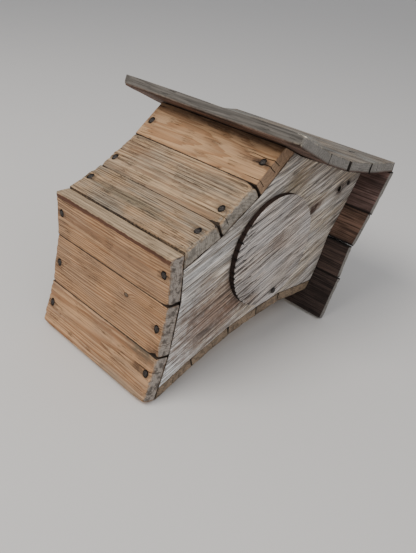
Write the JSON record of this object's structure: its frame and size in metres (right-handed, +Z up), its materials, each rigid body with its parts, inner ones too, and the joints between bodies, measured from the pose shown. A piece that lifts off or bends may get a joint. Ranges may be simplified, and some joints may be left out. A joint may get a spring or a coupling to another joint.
{
  "type": "rustic wooden birdhouse",
  "caption": "Whimsical birdhouse of reclaimed boards with hollow-curved walls and roof, a round entrance, a hanging hole and a swivelling round clean-out cover.",
  "frame": {"origin": "centre of the hanging hole, on the outer face of the back panel", "axes": "+Z up, +Y out of the back panel along the hanging hole, so the entrance faces -Y, and +X towards the wall of three wide boards"},
  "size_m": [0.2317, 0.211, 0.3271],
  "materials": {
    "weathered_panel": "weathered silver-grey pine",
    "tan_board": "honey-tan reclaimed softwood with grey weathering",
    "roof_board": "grey-brown weathered softwood, dark underside",
    "shadow_board": "dark grey-brown weathered softwood",
    "cover_wood": "light warm grey, sawn round, dark edge",
    "nail_steel": "dark rusty steel"
  },
  "bodies": {
    "house": {"front_panel": "weathered_panel", "back_panel": "weathered_panel", "floor_board_1": "tan_board", "floor_board_2": "tan_board", "floor_board_3": "tan_board", "right_wall_board_1": "tan_board", "right_wall_board_2": "tan_board", "right_wall_board_3": "tan_board", "left_wall_board_1": "shadow_board", "left_wall_board_2": "shadow_board", "left_wall_board_3": "shadow_board", "left_wall_board_4": "shadow_board", "left_wall_board_5": "shadow_board", "right_roof_board_1": "roof_board", "right_roof_board_2": "roof_board", "right_roof_board_3": "roof_board", "right_roof_board_4": "roof_board", "left_roof_board_1": "shadow_board", "left_roof_board_2": "shadow_board", "left_roof_board_3": "shadow_board", "left_roof_board_4": "shadow_board", "cover_pivot_nail": "nail_steel", "spare_nail": "nail_steel", "floor_nails": "nail_steel", "right_wall_nails": "nail_steel", "left_wall_nails": "nail_steel", "right_roof_nails": "nail_steel", "left_roof_nails": "nail_steel"},
    "cover": {"clean_out_cover": "cover_wood"}
  },
  "joints": [
    {"name": "cover_swivel", "type": "hinge", "parent": "house", "child": "cover", "pos_m": [-0.0465, 0.0004, -0.114], "axis": [0, 1, 0], "range_deg": [-60, 82]}
  ]
}
